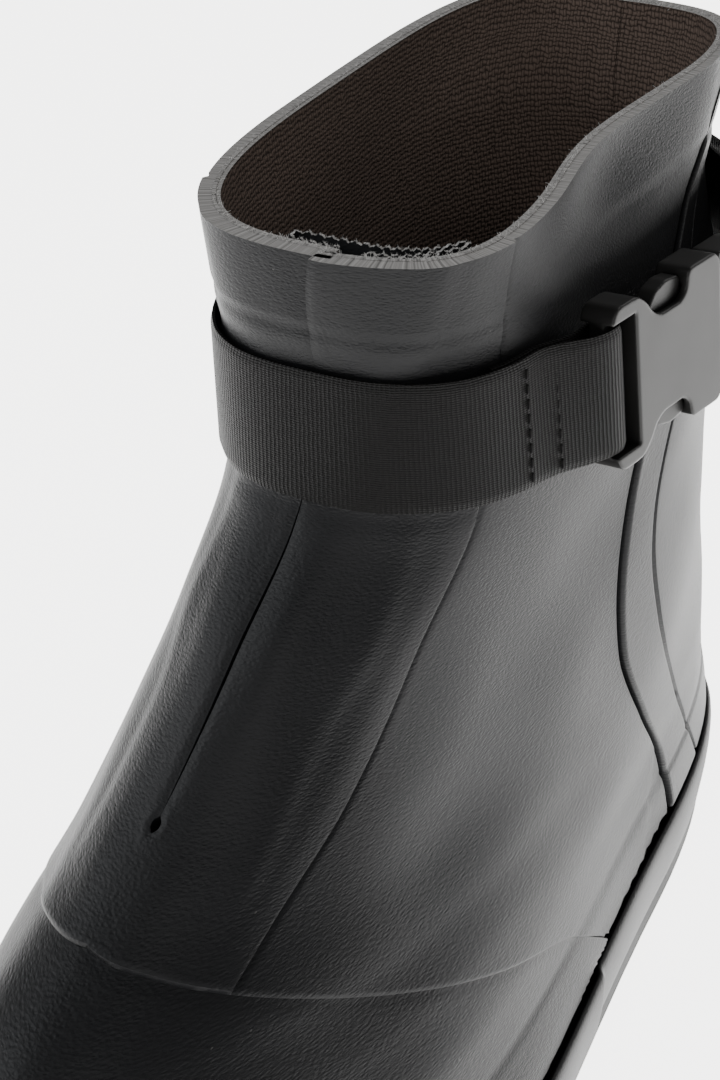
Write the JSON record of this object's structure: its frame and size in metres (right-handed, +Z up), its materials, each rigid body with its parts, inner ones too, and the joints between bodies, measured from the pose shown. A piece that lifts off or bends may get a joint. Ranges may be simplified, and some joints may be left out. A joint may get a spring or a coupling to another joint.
{
  "type": "rubber rain boot",
  "caption": "Ankle-height rubber rain boot with a slit front, a folded gusset, a canvas lining, a webbing strap with a side-release buckle, and a lugged outsole.",
  "frame": {"origin": "centre of the boot's box in plan, on the ground below the tread", "axes": "+Z up, +Y from the toe to the heel, +X to the lateral side, where the buckle sits"},
  "size_m": [0.107, 0.3034, 0.2004],
  "materials": {
    "upper_rubber": "satin with a fine leather-like grain",
    "sole_rubber": "matte",
    "filler": "matte",
    "ply_cloth": "rubber-coated cloth",
    "canvas": "plain weave",
    "gusset_cloth": "thin rubber-coated cloth with a frayed edge",
    "fibre_board": "pressed fibre",
    "foam": "foam with a cloth top",
    "steel": "cold rolled",
    "buckle_plastic": "satin moulded",
    "webbing": "ribbed webbing",
    "thread": "thread"
  },
  "bodies": {
    "boot": {"back_panel": "upper_rubber", "buckle_female": "buckle_plastic", "collar_tape": "ply_cloth", "footbed": "foam", "foxing": "sole_rubber", "front_backing": "ply_cloth", "front_panel": "upper_rubber", "gusset": "gusset_cloth", "heel_counter": "ply_cloth", "heel_pad": "sole_rubber", "insole_board": "fibre_board", "lining_lateral": "canvas", "lining_medial": "canvas", "midsole": "filler", "outsole": "sole_rubber", "quarter_lateral": "upper_rubber", "quarter_medial": "upper_rubber", "rand_ply_lateral": "ply_cloth", "rand_ply_medial": "ply_cloth", "seam_tape_lateral": "ply_cloth", "seam_tape_medial": "ply_cloth", "shank": "steel", "side_strip_lateral": "upper_rubber", "side_strip_medial": "upper_rubber", "strap_front": "webbing", "strap_loop": "upper_rubber", "strap_rear": "webbing", "strap_stitching": "thread", "toe_puff": "ply_cloth", "vamp": "upper_rubber"},
    "buckle_male": {"buckle_male": "buckle_plastic"},
    "prong_upper": {"prong_upper": "buckle_plastic"},
    "prong_lower": {"prong_lower": "buckle_plastic"}
  },
  "joints": [
    {"name": "buckle_release", "type": "slide", "parent": "boot", "child": "buckle_male", "axis": [0.1564, 0.9877, 0], "range_m": [0, 0.022], "deforming": ["strap_rear", "prong_upper", "prong_lower"]},
    {"name": "prong_upper_press", "type": "hinge", "parent": "buckle_male", "child": "prong_upper", "pos_m": [0.045, 0.05282, 0.17445], "axis": [0.9823, -0.1556, 0.1045], "range_deg": [0, 7], "stiffness_Nm_per_rad": 0.3},
    {"name": "prong_lower_press", "type": "hinge", "parent": "buckle_male", "child": "prong_lower", "pos_m": [0.04675, 0.05254, 0.15755], "axis": [-0.9823, 0.1556, -0.1045], "range_deg": [0, 7], "stiffness_Nm_per_rad": 0.3}
  ],
  "couplings": [
    {"joint": "prong_lower_press", "follows": "prong_upper_press", "ratio": 1}
  ]
}
